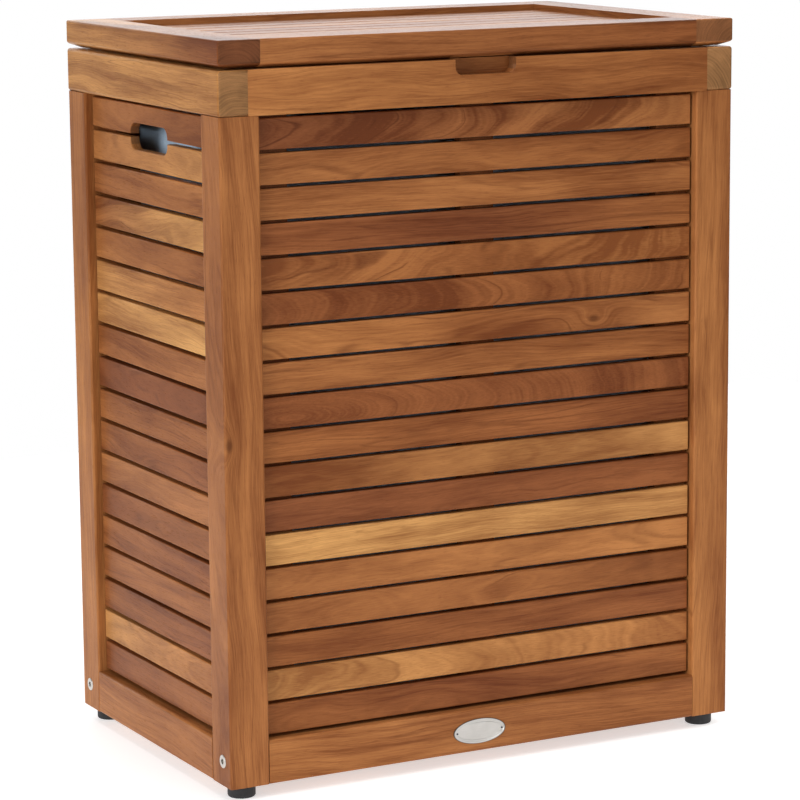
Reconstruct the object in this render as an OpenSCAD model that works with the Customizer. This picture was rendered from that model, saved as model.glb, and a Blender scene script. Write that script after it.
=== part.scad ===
// Slatted laundry hamper with a hinged lid. Millimetres, +Z up, front towards -Y.
// The origin is on the floor, at the middle of the outline.

/* [Overall] */
// Width across the rim, left to right
body_w = 560; // [460:1:700]
// Depth across the rim, front to back
body_d = 359; // [290:1:450]
// Length of the corner posts
post_h = 636; // [520:1:780]
// How far posts and panels stand in from the rim's outline
frame_inset = 0.6; // [0.6:0.1:4]

/* [Posts and bottom rails] */
// Side of the square corner posts
post_size = 41; // [35:1:55]
// Height of the bottom rails
rail_h = 43; // [36:1:60]
// How far the bottom rails' backs stand ahead of the posts' backs
rail_step = 6; // [1:1:10]
// Rounding of the long edges of posts and rails
frame_round = 2; // [0.5:0.5:4]

/* [Rim] */
// Height of the rim's rails
rim_h = 42.5; // [35:0.5:55]
// Thickness of the rim's rails
rim_t = 30; // [24:1:36]
// Rounding of the rim's outer edges
rim_round = 3; // [1:0.5:3]
// Width of the finger notch
notch_w = 66; // [50:1:100]
// Depth of the finger notch below the rim's top
notch_h = 15; // [10:1:20]
// How far the finger notch goes into the rail
notch_depth = 14; // [8:1:20]
// Rounding of the notch's lower corners
notch_r = 8; // [3:1:10]

/* [Panels] */
// Number of slats on each side
slat_count = 18; // [18:1:18]
// Thickness of a slat
slat_t = 10; // [8:0.5:13]
// Gap above and below each slat
slat_gap = 3.4; // [2:0.2:6]
// Gap between a slat's end and the post
slat_end_gap = 2.2; // [1:0.2:5]
// How far the slats stand in from the posts' faces
slat_recess = 8; // [4:0.5:10]
// Rounding of a slat's long edges
slat_round = 1; // [0.5:0.5:2]
// Width of the upright battens
batten_w = 36; // [28:1:44]
// Thickness of the upright battens
batten_t = 12; // [9:1:14]
// Width of the hand holes
handle_w = 87; // [75:1:110]
// Height of the hand holes
handle_h = 26; // [22:1:34]
// Rounding of the hand holes' corners
handle_r = 10; // [5:1:11]
// Diameter of a slat nail
nail_d = 1.8; // [1.2:0.2:2.4]
// Depth of a slat nail in its slat
nail_bite = 7; // [4:1:7]

/* [Lid] */
// Thickness of the lid's rails
lid_t = 26.5; // [22:0.5:32]
// Width of the lid's rails
lid_rail_w = 43; // [36:1:52]
// Gap between the closed lid and the rim
lid_gap = 1.2; // [0.8:0.1:2]
// Width of the chamfer under the lid's outer edge
lid_chamfer_w = 10; // [6:1:12]
// Height of the chamfer under the lid's outer edge
lid_chamfer_h = 4; // [3:0.5:6]
// Rounding of the lid's top edges
lid_round = 2.5; // [1:0.5:4]
// Number of slats in the lid
lid_slat_count = 8; // [6:1:10]
// Thickness of the lid's slats
lid_slat_t = 11; // [8:0.5:12]
// Gap on each side of the lid's slats
lid_slat_gap = 3.4; // [2:0.2:6]
// Depth of the slats below the rails' top
lid_recess = 6; // [3:0.5:7]
// How far the slats go into the side rails
lid_tongue = 8; // [5:1:14]
// Width of the batten under the slats
lid_batten_w = 40; // [30:1:60]
// How far the batten stays above the lid's lower face
lid_batten_up = 1.5; // [0.5:0.5:2]

/* [Hinges] */
// Distance between the two hinges' centres
hinge_spread = 300; // [220:1:360]
// Length of a hinge
hinge_l = 50; // [40:1:70]
// Width of a leaf, from the pin to its edge
leaf_w = 20; // [16:1:24]
// Thickness of a leaf
leaf_t = 1.5; // [1.2:0.1:2]
// Diameter of the knuckles
knuckle_d = 6; // [5.6:0.2:6.4]
// Diameter of the pin
hinge_pin_d = 3; // [2.4:0.2:3.4]

/* [Joinery] */
// Diameter of the dowels
dowel_d = 8; // [6:1:9]
// Length of the dowels
dowel_l = 34; // [28:1:38]
// Diameter of the cap bolts
bolt_d = 6; // [5:1:7]
// Diameter of the bolts' flat heads
bolt_head_d = 13; // [11:0.5:15]
// Height of the bolts above the posts' ends
bolt_h = 24; // [22:1:30]
// Length of a bolt past its post
bolt_reach = 36; // [30:1:50]
// Diameter of the barrel nuts
nut_d = 10; // [9:1:12]
// Length of the barrel nuts
nut_l = 14; // [10:1:16]

/* [Feet] */
// Height of the feet
foot_h = 13; // [9:1:22]
// Diameter of the feet
foot_d = 27; // [22:1:36]
// Rounding of the feet's lower edge
foot_round = 2; // [1:0.5:3]
// Diameter of the foot screws
foot_screw_d = 4; // [3:0.5:4.5]
// Depth of the foot screws in the posts
foot_screw_bite = 14; // [8:1:15]

/* [Floor] */
// Height of the cleats' lower face above the posts' ends
cleat_h = 8; // [2:1:12]
// Side of the square cleats
cleat_size = 20; // [14:1:20]
// Number of floor slats
floor_slat_count = 7; // [5:1:8]
// Width of a floor slat
floor_slat_w = 54; // [36:1:54]
// Thickness of a floor slat
floor_slat_t = 12; // [8:1:14]

/* [Liner] */
// Gap between the liner and the posts
liner_gap = 5; // [3:0.5:12]
// Thickness of the liner's wall with its hem
liner_t = 2; // [1.5:0.5:3]
// Rounding of the liner's upright corners
liner_r = 18; // [6:1:30]
// Height of the liner's top above the rim's lower face
liner_top = 12; // [4:1:14]
// Distance of the knobs from the rim's front and back
knob_inset = 93; // [75:1:120]
// Diameter of a knob's head
knob_d = 13; // [10:1:16]
// Diameter of a knob's neck
knob_neck_d = 5; // [4:0.5:6]
// Width of a hanging loop
loop_w = 20; // [16:1:30]

/* [Badge] */
// Width of the oval plate
badge_w = 58; // [40:1:80]
// Height of the oval plate
badge_h = 25; // [18:0.5:32]
// Thickness of the oval plate
badge_t = 0.8; // [0.4:0.1:0.8]
// Height of the plate's middle above the posts' ends
badge_z = 20.5; // [17:0.5:30]
// How far the plate sits left of the middle
badge_shift = 10; // [0:1:60]
// Diameter of the plate's pins
badge_pin_d = 2; // [1.5:0.5:3]

/* [Hidden] */
// Fits: clearances all round, on a radius or on a face
wood_fit = 0.1;
pin_fit = 0.05;
bolt_fit = 0.2;
knuckle_fit = 0.4;
// Drills and mortises start this far outside a face
past = 1;

// Levels
rim_z0 = foot_h + post_h;
rim_z1 = rim_z0 + rim_h;
lid_z0 = rim_z1 + lid_gap;
lid_z1 = lid_z0 + lid_t;
panel_z0 = foot_h + rail_h;
panel_h = post_h - rail_h;
slat_h = (panel_h - (slat_count + 1) * slat_gap) / slat_count;

// Outline of the posts and what hangs between them
frame_w = body_w - 2 * frame_inset;
frame_d = body_d - 2 * frame_inset;
rail_t = post_size - rail_step;
wide_opening = frame_w - 2 * post_size;
narrow_opening = frame_d - 2 * post_size;
post_x = (frame_w - post_size) / 2;
post_y = (frame_d - post_size) / 2;
// Depth from a post's face to the back of the slats
slat_back = slat_recess + slat_t;

// Lid panel
lid_opening_w = body_w - 2 * lid_rail_w;
lid_opening_d = body_d - 2 * lid_rail_w;
lid_slat_pitch = (lid_opening_d - lid_slat_gap) / lid_slat_count;
lid_slat_w = lid_slat_pitch - lid_slat_gap;
lid_slat_z0 = lid_z1 - lid_recess - lid_slat_t;
lid_batten_t = lid_slat_z0 - lid_z0 - lid_batten_up;
lid_screw_d = 3.5;
lid_screw_head_d = 7;
lid_screw_head_t = 2.2;
lid_screw_bite = 8;

// Hinge line: in the middle of the lid's gap, a knuckle's radius ahead of the back face
hinge_y = body_d / 2 - knuckle_d / 2;
hinge_z = rim_z1 + lid_gap / 2;
leaf_gap = 0.2;
knuckle_gap = 0.3;
knuckle_l = (hinge_l - 2 * knuckle_gap) / 3;
hinge_pin_past = 0.5;
hinge_screw_d = 3;
hinge_screw_head_d = 6;
hinge_screw_l = 14;
hinge_screw_pitch = hinge_l / 3;

// Bolts and barrel nuts
bolt_y = (frame_d - rail_t) / 2;
bolt_z = foot_h + bolt_h;
bolt_head_t = 3;
bolt_head_proud = 0.5;
socket_d = 5;
socket_depth = 2;
nut_x = frame_w / 2 - post_size - bolt_reach + bolt_d;

// Feet
foot_head_d = 8;
foot_head_t = 3;
foot_head_up = 4;

// Floor and liner
cleat_z0 = foot_h + cleat_h;
floor_z0 = cleat_z0 + cleat_size;
floor_z1 = floor_z0 + floor_slat_t;
liner_w = wide_opening - 2 * liner_gap;
liner_d = narrow_opening - 2 * liner_gap;
liner_z0 = floor_z1 + 0.3;
liner_z1 = rim_z0 + liner_top;
rim_inside_x = body_w / 2 - rim_t;
knob_y = body_d / 2 - knob_inset;
knob_z = liner_z1 + loop_w / 2;
knob_head_t = 3;
knob_neck_l = 8;
knob_bite = 12;
loop_x = rim_inside_x - knob_neck_l / 2;
loop_z0 = liner_z1 - 2 * liner_t;

SIDES = [-1, 1];
front_slat_names = [for (k = [1:slat_count]) str("front_slat_", k)];

// Height of the lower edge of the k-th slat from the top
function slat_z(k) = rim_z0 - k * (slat_h + slat_gap);
// Middle of the gap below the first slat, which the hand holes straddle
handle_z = slat_z(1) - slat_gap / 2;
// Middles of the battens along a panel's opening
function batten_row(opening, n) =
    [for (i = [0:n - 1]) (i / (n - 1) - 0.5) * (opening - batten_w)];

// Rectangle with round corners, centred
module round_rect(w, h, r) {
    square([w - 2 * r, h], center = true);
    square([w, h - 2 * r], center = true);
    for (x = SIDES, y = SIDES)
        translate([x * (w / 2 - r), y * (h / 2 - r)]) circle(r);
}

// Bar along X with round long edges, centred in plan, standing on z = 0
module bar(l, d, h, r) {
    translate([-l / 2, 0, h / 2]) rotate([90, 0, 90]) linear_extrude(l) round_rect(d, h, r);
}

// Plain box between two corners
module box(low, high) {
    translate(low) cube(high - low);
}

// Turns a child drawn for the front face, towards -Y, to each of the four faces
module on_back() { rotate([0, 0, 180]) children(); }
module on_left() { rotate([0, 0, -90]) children(); }
module on_right() { rotate([0, 0, 90]) children(); }

// Countersunk wood screw, head up, its flat top at z = 0
module countersunk(d, head_d, l) {
    head_t = (head_d - d) / 2;
    translate([0, 0, -head_t]) cylinder(d1 = d, d2 = head_d, h = head_t);
    translate([0, 0, -l]) cylinder(d = d, h = l - head_t);
}

// ---- Lid ----

// Section of the lid's outline: round top edges and a broad chamfer below
module lid_section(w) {
    half = w / 2;
    polygon([
        [-half + lid_chamfer_w, 0], [half - lid_chamfer_w, 0],
        [half, lid_chamfer_h], [half, lid_t - lid_round],
        [half - lid_round, lid_t], [-half + lid_round, lid_t],
        [-half, lid_t - lid_round], [-half, lid_chamfer_h]
    ]);
    for (side = SIDES)
        translate([side * (half - lid_round), lid_t - lid_round]) circle(lid_round);
}

// Whole outline of the lid, from which its four rails are cut
module lid_block() {
    translate([0, 0, lid_z0]) intersection() {
        linear_extrude(lid_t) round_rect(body_w, body_d, lid_round);
        translate([-body_w / 2, 0, 0]) rotate([90, 0, 90]) linear_extrude(body_w)
            lid_section(body_d);
        translate([0, body_d / 2, 0]) rotate([90, 0, 0]) linear_extrude(body_d)
            lid_section(body_w);
    }
}

// Places of the dowels between the lid's rails, along X
module at_lid_dowels() {
    for (x = SIDES, y = SIDES, step = SIDES)
        translate([x * lid_opening_w / 2, y * (body_d - lid_rail_w) / 2 + step * lid_rail_w / 4,
            lid_z0 + lid_t / 2])
            rotate([0, 90, 0]) children();
}

module dowel(fit) {
    cylinder(d = dowel_d + 2 * fit, h = dowel_l + 2 * fit, center = true);
}

// Middle of the i-th lid slat, counted from the front
function lid_slat_y(i) = (i + 0.5) * lid_slat_pitch - (lid_opening_d - lid_slat_gap) / 2;

// Lid slats, or the grooves for them when fit is above zero
module lid_slat_row(fit) {
    for (i = [0:lid_slat_count - 1])
        translate([0, lid_slat_y(i), lid_slat_z0 - fit])
            bar(lid_opening_w + 2 * (lid_tongue + fit), lid_slat_w + 2 * fit,
                lid_slat_t + 2 * fit, slat_round);
}

module lid_side_rail(side) {
    color("sienna") difference() {
        intersection() {
            lid_block();
            translate([side * (body_w - lid_rail_w) / 2, 0, lid_z0 + lid_t / 2])
                cube([lid_rail_w, body_d, lid_t], center = true);
        }
        lid_slat_row(wood_fit);
        at_lid_dowels() dowel(wood_fit);
    }
}

module lid_cross_rail(side) {
    difference() {
        intersection() {
            lid_block();
            translate([0, side * (body_d - lid_rail_w) / 2, lid_z0 + lid_t / 2])
                cube([lid_opening_w, lid_rail_w, lid_t], center = true);
        }
        at_lid_dowels() dowel(wood_fit);
    }
}

module lid_front_rail() { color("sienna") lid_cross_rail(-1); }

module lid_back_rail() {
    color("sienna") difference() {
        lid_cross_rail(1);
        hinge_recess(1);
        at_hinge_screws(1) countersunk(hinge_screw_d, hinge_screw_head_d, hinge_screw_l);
    }
}

// Places of the screws through the lid's batten, pointing down out of it
module at_lid_batten_screws() {
    for (i = [0:lid_slat_count - 1])
        translate([0, lid_slat_y(i), lid_slat_z0 - lid_batten_t]) mirror([0, 0, 1]) children();
}

module lid_batten_screw(fit) {
    translate([0, 0, -lid_screw_head_t]) cylinder(d = lid_screw_head_d + 2 * fit, h = lid_screw_head_t);
    translate([0, 0, -lid_batten_t - lid_screw_bite])
        cylinder(d = lid_screw_d + 2 * fit, h = lid_batten_t + lid_screw_bite - lid_screw_head_t);
}

module lid_slats() {
    color("peru") difference() {
        lid_slat_row(0);
        at_lid_batten_screws() lid_batten_screw(pin_fit);
    }
}

module lid_batten() {
    color("peru") difference() {
        box([-lid_batten_w / 2, -lid_opening_d / 2, lid_slat_z0 - lid_batten_t],
            [lid_batten_w / 2, lid_opening_d / 2, lid_slat_z0]);
        at_lid_batten_screws() lid_batten_screw(pin_fit);
    }
}

module lid_batten_screws() { color("silver") at_lid_batten_screws() lid_batten_screw(0); }
module lid_dowels() { color("wheat") at_lid_dowels() dowel(0); }

// ---- Hinges: side is 1 for the lid's half and -1 for the rim's half ----

module at_hinges() {
    for (x = SIDES) translate([x * hinge_spread / 2, hinge_y, hinge_z]) children();
}

// One leaf: a plate with its knuckles, drilled for the pin and the screws
module leaf(side) {
    plate_z = side > 0 ? leaf_gap / 2 : -leaf_gap / 2 - leaf_t;
    middle = (knuckle_l + 2 * knuckle_gap) / 2;
    difference() {
        union() {
            box([-hinge_l / 2, -leaf_w, plate_z], [hinge_l / 2, -knuckle_d / 2, plate_z + leaf_t]);
            intersection() {
                union() {
                    rotate([0, 90, 0]) cylinder(d = knuckle_d, h = hinge_l, center = true);
                    box([-hinge_l / 2, -knuckle_d, plate_z], [hinge_l / 2, 0, plate_z + leaf_t]);
                }
                if (side > 0)
                    cube([knuckle_l, 3 * knuckle_d, 2 * knuckle_d], center = true);
                else
                    for (x = SIDES)
                        box([x > 0 ? middle : -hinge_l / 2, -2 * knuckle_d, -knuckle_d],
                            [x > 0 ? hinge_l / 2 : -middle, knuckle_d, knuckle_d]);
            }
        }
        // Room for the other leaf's knuckles to turn in
        if (side > 0)
            for (x = SIDES)
                translate([x * (middle - knuckle_gap + hinge_l / 2), 0, 0]) rotate([0, 90, 0])
                    cylinder(d = knuckle_d + 2 * knuckle_fit, h = hinge_l, center = true);
        else
            rotate([0, 90, 0])
                cylinder(d = knuckle_d + 2 * knuckle_fit, h = 2 * middle, center = true);
        rotate([0, 90, 0]) cylinder(d = hinge_pin_d + 2 * pin_fit, h = hinge_l + 2 * past, center = true);
    }
}

// Places of a half's screws, their heads flush with the leaf's face in the gap
module at_hinge_screws(side) {
    at_hinges() for (i = SIDES)
        translate([i * hinge_screw_pitch, -leaf_w / 2 - knuckle_d / 4, side * leaf_gap / 2])
            mirror([0, 0, side > 0 ? 1 : 0]) children();
}

module hinge_leaves(side) {
    difference() {
        at_hinges() leaf(side);
        at_hinge_screws(side) countersunk(hinge_screw_d, hinge_screw_head_d, hinge_screw_l);
    }
}

// Mortise for a leaf and the groove for its knuckles, in the lid or in the rim
module hinge_recess(side) {
    depth = leaf_gap / 2 + leaf_t + wood_fit;
    low = side > 0 ? 0 : -depth;
    at_hinges() {
        box([-hinge_l / 2 - wood_fit, -leaf_w - wood_fit, low], [hinge_l / 2 + wood_fit, 0, low + depth]);
        rotate([0, 90, 0])
            cylinder(d = knuckle_d + 2 * knuckle_fit, h = hinge_l + 2 * past, center = true);
    }
}

module hinge_lid_leaves() { color("silver") hinge_leaves(1); }
module hinge_rim_leaves() { color("silver") hinge_leaves(-1); }

module hinge_pins() {
    color("gray") at_hinges() rotate([0, 90, 0])
        cylinder(d = hinge_pin_d, h = hinge_l + 2 * hinge_pin_past, center = true);
}

module hinge_lid_screws() {
    color("gray") at_hinge_screws(1) countersunk(hinge_screw_d, hinge_screw_head_d, hinge_screw_l);
}

module hinge_rim_screws() {
    color("gray") at_hinge_screws(-1) countersunk(hinge_screw_d, hinge_screw_head_d, hinge_screw_l);
}

// ---- Rim ----

// Whole outline of the rim, from which its four rails are cut
module rim_block() {
    translate([0, 0, rim_z0]) intersection() {
        linear_extrude(rim_h) round_rect(body_w, body_d, rim_round);
        bar(body_w, body_d, rim_h, rim_round);
        rotate([0, 0, 90]) bar(body_d, body_w, rim_h, rim_round);
    }
}

// Places of the dowels between the rim's rails, along X
module at_rim_dowels() {
    for (x = SIDES, y = SIDES, step = SIDES)
        translate([x * rim_inside_x, y * (body_d - rim_t) / 2, rim_z0 + rim_h / 2 + step * rim_h / 4])
            rotate([0, 90, 0]) children();
}

// Places of the upright dowels between the posts and the rim's side rails
module at_post_dowels() {
    for (x = SIDES, y = SIDES)
        translate([x * (body_w - rim_t) / 2, y * (frame_d / 2 - post_size + dowel_d), rim_z0])
            children();
}

// Places of the liner knobs on the rim's inner faces, pointing inwards
module at_knobs() {
    for (x = SIDES, y = SIDES)
        translate([x * rim_inside_x, y * knob_y, knob_z]) rotate([0, -90 * x, 0]) children();
}

module rim_side_rail(side) {
    color("peru") difference() {
        intersection() {
            rim_block();
            translate([side * (body_w - rim_t) / 2, 0, rim_z0 + rim_h / 2])
                cube([rim_t, body_d, rim_h], center = true);
        }
        at_rim_dowels() dowel(wood_fit);
        at_post_dowels() dowel(wood_fit);
        at_knobs() translate([0, 0, -knob_bite])
            cylinder(d = knob_neck_d + 2 * pin_fit, h = knob_bite + past);
    }
}

module rim_cross_rail(side) {
    difference() {
        intersection() {
            rim_block();
            translate([0, side * (body_d - rim_t) / 2, rim_z0 + rim_h / 2])
                cube([2 * rim_inside_x, rim_t, rim_h], center = true);
        }
        at_rim_dowels() dowel(wood_fit);
    }
}

// Blind notch for the fingers, open to the front and to the top
module finger_notch() {
    translate([0, -body_d / 2 + notch_depth, rim_z1 - notch_h]) rotate([90, 0, 0])
        linear_extrude(notch_depth + past) {
            translate([0, notch_h]) round_rect(notch_w, 2 * notch_h, notch_r);
        }
}

module rim_front_rail() {
    color("sienna") difference() {
        rim_cross_rail(-1);
        finger_notch();
    }
}

module rim_back_rail() {
    color("sienna") difference() {
        rim_cross_rail(1);
        hinge_recess(-1);
        at_hinge_screws(-1) countersunk(hinge_screw_d, hinge_screw_head_d, hinge_screw_l);
    }
}

// ---- Posts, bottom rails and what joins them ----

// Places of the bolts, their heads' tops outwards
module at_bolts() {
    for (x = SIDES, y = SIDES)
        translate([x * (frame_w / 2 + bolt_head_proud), y * bolt_y, bolt_z]) rotate([0, 90 * x, 0])
            children();
}

module at_nuts() {
    for (x = SIDES, y = SIDES)
        translate([x * nut_x, y * bolt_y, bolt_z]) rotate([90 * y, 0, 0]) children();
}

// Places of the dowels between posts and the side bottom rails, along Y
module at_side_rail_dowels() {
    for (x = SIDES, y = SIDES, step = SIDES)
        translate([x * (frame_w - rail_t) / 2, y * narrow_opening / 2,
            foot_h + rail_h / 2 + step * rail_h / 4])
            rotate([90, 0, 0]) children();
}

// Places of the dowels between posts and the front and back bottom rails, along X
module at_wide_rail_dowels() {
    for (x = SIDES, y = SIDES)
        translate([x * wide_opening / 2, y * bolt_y, foot_h + rail_h / 4]) rotate([0, 90, 0])
            children();
}

module at_feet() {
    for (x = SIDES, y = SIDES) translate([x * post_x, y * post_y, 0]) children();
}

module bolt_length_past_head(fit) {
    shank = bolt_head_proud + post_size + bolt_reach + fit;
    translate([0, 0, -shank]) cylinder(d = bolt_d + 2 * fit, h = shank);
}

module post(x, y) {
    color("peru") difference() {
        translate([x * post_x, y * post_y, foot_h]) linear_extrude(post_h)
            round_rect(post_size, post_size, frame_round);
        at_post_dowels() dowel(wood_fit);
        at_side_rail_dowels() dowel(wood_fit);
        at_wide_rail_dowels() dowel(wood_fit);
        at_bolts() {
            bolt_length_past_head(bolt_fit);
            translate([0, 0, -bolt_head_t])
                cylinder(d = bolt_head_d + 2 * bolt_fit, h = bolt_head_t + past);
        }
        at_feet() translate([0, 0, foot_h - past])
            cylinder(d = foot_screw_d + 2 * pin_fit, h = foot_screw_bite + past + pin_fit);
    }
}

// Bottom rail across the width, drilled for the bolts and their barrel nuts
module wide_bottom_rail(side) {
    color("sienna") difference() {
        translate([0, side * bolt_y, foot_h]) bar(wide_opening, rail_t, rail_h, frame_round);
        at_wide_rail_dowels() dowel(wood_fit);
        at_bolts() bolt_length_past_head(bolt_fit);
        at_nuts() translate([0, 0, -nut_l / 2 - pin_fit])
            cylinder(d = nut_d + 2 * pin_fit, h = rail_t);
    }
}

module narrow_bottom_rail(side) {
    color("sienna") difference() {
        translate([side * (frame_w - rail_t) / 2, 0, foot_h]) rotate([0, 0, 90])
            bar(narrow_opening, rail_t, rail_h, frame_round);
        at_side_rail_dowels() dowel(wood_fit);
    }
}

module frame_dowels() {
    color("wheat") {
        at_rim_dowels() dowel(0);
        at_post_dowels() dowel(0);
        at_side_rail_dowels() dowel(0);
        at_wide_rail_dowels() dowel(0);
    }
}

module frame_bolts() {
    color("silver") at_bolts() difference() {
        union() {
            translate([0, 0, -bolt_head_t]) cylinder(d = bolt_head_d, h = bolt_head_t);
            bolt_length_past_head(0);
        }
        translate([0, 0, -socket_depth]) cylinder(d = socket_d, h = socket_depth + past, $fn = 6);
    }
}

module barrel_nuts() {
    color("silver") difference() {
        at_nuts() cylinder(d = nut_d, h = nut_l, center = true);
        at_bolts() bolt_length_past_head(pin_fit);
    }
}

module feet() {
    flat_r = foot_d / 2 - foot_round;
    color("dimgray") at_feet() difference() {
        rotate_extrude() {
            square([flat_r, foot_h]);
            translate([0, foot_round]) square([foot_d / 2, foot_h - foot_round]);
            translate([flat_r, foot_round]) circle(foot_round);
        }
        translate([0, 0, -past]) cylinder(d = foot_screw_d + 2 * pin_fit, h = foot_h + 2 * past);
        translate([0, 0, -past])
            cylinder(d = foot_head_d + 2 * bolt_fit, h = foot_head_up + foot_head_t + past);
    }
}

module foot_screws() {
    color("silver") at_feet() {
        translate([0, 0, foot_head_up]) cylinder(d = foot_head_d, h = foot_head_t);
        translate([0, 0, foot_head_up])
            cylinder(d = foot_screw_d, h = foot_h + foot_screw_bite - foot_head_up);
    }
}

// ---- Panels: each is drawn for the front face, span is the outline across it ----

// The k-th slat from the top
module slat(k, span, opening) {
    translate([0, -span / 2 + slat_recess + slat_t / 2, slat_z(k)])
        bar(opening - 2 * slat_end_gap, slat_t, slat_h, slat_round);
}

// Nails of one panel, or of its k-th slat alone, from the battens' inner faces outwards
module nails(span, opening, n, rows, fit) {
    for (x = batten_row(opening, n), k = rows)
        translate([x, -span / 2 + slat_back + batten_t, slat_z(k) + slat_h / 2]) rotate([90, 0, 0])
            cylinder(d = nail_d + 2 * fit, h = batten_t + nail_bite + fit);
}

module battens(span, opening, n) {
    difference() {
        for (x = batten_row(opening, n))
            translate([x - batten_w / 2, -span / 2 + slat_back, panel_z0])
                cube([batten_w, batten_t, panel_h]);
        nails(span, opening, n, [1:slat_count], pin_fit);
    }
}

module front_slat(k) {
    color(k % 3 == 1 ? "sienna" : "peru") difference() {
        slat(k, frame_d, wide_opening);
        nails(frame_d, wide_opening, 3, [k], pin_fit);
    }
}

module back_slats() {
    color("peru") on_back() for (k = [1:slat_count]) difference() {
        slat(k, frame_d, wide_opening);
        nails(frame_d, wide_opening, 3, [k], pin_fit);
    }
}

// Narrow panel: its top two slats share a hand hole
module narrow_slats() {
    for (k = [1:slat_count]) difference() {
        slat(k, frame_w, narrow_opening);
        nails(frame_w, narrow_opening, 2, [k], pin_fit);
        if (k <= 2)
            translate([0, -frame_w / 2 + slat_back + past, handle_z]) rotate([90, 0, 0])
                linear_extrude(slat_t + 2 * past) round_rect(handle_w, handle_h, handle_r);
    }
}

module left_slats() { color("peru") on_left() narrow_slats(); }
module right_slats() { color("peru") on_right() narrow_slats(); }

module panel_battens() {
    color("saddlebrown") {
        battens(frame_d, wide_opening, 3);
        on_back() battens(frame_d, wide_opening, 3);
    }
}

module side_battens() {
    color("saddlebrown") {
        on_left() battens(frame_w, narrow_opening, 2);
        on_right() battens(frame_w, narrow_opening, 2);
    }
}

module slat_nails() {
    color("silver") {
        nails(frame_d, wide_opening, 3, [1:slat_count], 0);
        on_back() nails(frame_d, wide_opening, 3, [1:slat_count], 0);
        on_left() nails(frame_w, narrow_opening, 2, [1:slat_count], 0);
        on_right() nails(frame_w, narrow_opening, 2, [1:slat_count], 0);
    }
}

// ---- Floor and liner ----

module floor_cleats() {
    inner = frame_d / 2 - rail_t;
    color("peru") for (side = SIDES)
        translate([0, side * (inner - cleat_size / 2), cleat_z0 + cleat_size / 2])
            cube([wide_opening, cleat_size, cleat_size], center = true);
}

module floor_slats() {
    pitch = (wide_opening - floor_slat_w) / (floor_slat_count - 1);
    color("peru") for (i = [0:floor_slat_count - 1])
        translate([(i - (floor_slat_count - 1) / 2) * pitch, 0, floor_z0]) rotate([0, 0, 90])
            bar(frame_d - 2 * rail_t, floor_slat_w, floor_slat_t, slat_round);
}

// Open bag with four hanging loops: each is a tab around a knob's neck on a short bridge
module liner_bag() {
    color("lightsteelblue") difference() {
        union() {
            translate([0, 0, liner_z0]) linear_extrude(liner_z1 - liner_z0)
                round_rect(liner_w, liner_d, liner_r);
            for (x = SIDES, y = SIDES) translate([0, y * knob_y, 0]) {
                box([x > 0 ? liner_w / 2 - liner_t : -loop_x - liner_t / 2, -loop_w / 2, loop_z0],
                    [x > 0 ? loop_x + liner_t / 2 : -liner_w / 2 + liner_t, loop_w / 2, loop_z0 + liner_t]);
                box([x * loop_x - liner_t / 2, -loop_w / 2, loop_z0],
                    [x * loop_x + liner_t / 2, loop_w / 2, knob_z]);
                translate([x * loop_x, 0, knob_z]) rotate([0, 90, 0])
                    cylinder(d = loop_w, h = liner_t, center = true);
            }
        }
        translate([0, 0, liner_z0 + liner_t]) linear_extrude(liner_z1 - liner_z0)
            round_rect(liner_w - 2 * liner_t, liner_d - 2 * liner_t, liner_r - liner_t);
        at_knobs() cylinder(d = knob_neck_d + 4 * bolt_fit, h = knob_neck_l);
    }
}

module liner_knobs() {
    color("silver") at_knobs() {
        translate([0, 0, -knob_bite]) cylinder(d = knob_neck_d, h = knob_bite + knob_neck_l);
        translate([0, 0, knob_neck_l]) cylinder(d = knob_d, h = knob_head_t);
    }
}

// ---- Badge: a plain oval plate ----

// Point of an oval at an angle
function oval(w, h, angle) = [w / 2 * cos(angle), h / 2 * sin(angle)];

module at_badge() {
    translate([-badge_shift, -frame_d / 2, foot_h + badge_z]) rotate([90, 0, 0]) children();
}

module at_badge_pins() {
    at_badge() for (x = SIDES) translate([x * (badge_w / 2 - 2 * badge_pin_d), 0, 0]) children();
}

module badge_plate() {
    color("lightgray") difference() {
        at_badge() linear_extrude(badge_t) polygon([for (a = [0:5:355]) oval(badge_w, badge_h, a)]);
        at_badge_pins() cylinder(d = badge_pin_d + 2 * pin_fit, h = 4 * badge_t, center = true);
    }
}

module badge_pins() {
    color("gray") at_badge_pins() cylinder(d = badge_pin_d, h = badge_t + pin_fit);
}

lid_side_rail(-1);  // lid_side_rail_left
lid_side_rail(1);  // lid_side_rail_right
lid_front_rail();
lid_back_rail();
lid_slats();
lid_batten();
lid_batten_screws();
lid_dowels();
hinge_lid_leaves();
hinge_lid_screws();
hinge_rim_leaves();
hinge_rim_screws();
hinge_pins();
rim_side_rail(-1);  // rim_side_rail_left
rim_side_rail(1);  // rim_side_rail_right
rim_front_rail();
rim_back_rail();
post(-1, -1);  // post_front_left
post(1, -1);  // post_front_right
post(-1, 1);  // post_back_left
post(1, 1);  // post_back_right
wide_bottom_rail(-1);  // bottom_rail_front
wide_bottom_rail(1);  // bottom_rail_back
narrow_bottom_rail(-1);  // bottom_rail_left
narrow_bottom_rail(1);  // bottom_rail_right
frame_dowels();
frame_bolts();
barrel_nuts();
feet();
foot_screws();
for (k = [1:slat_count])
    front_slat(k);
back_slats();
left_slats();
right_slats();
panel_battens();
side_battens();
slat_nails();
floor_cleats();
floor_slats();
liner_bag();
liner_knobs();
badge_plate();
badge_pins();
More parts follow.
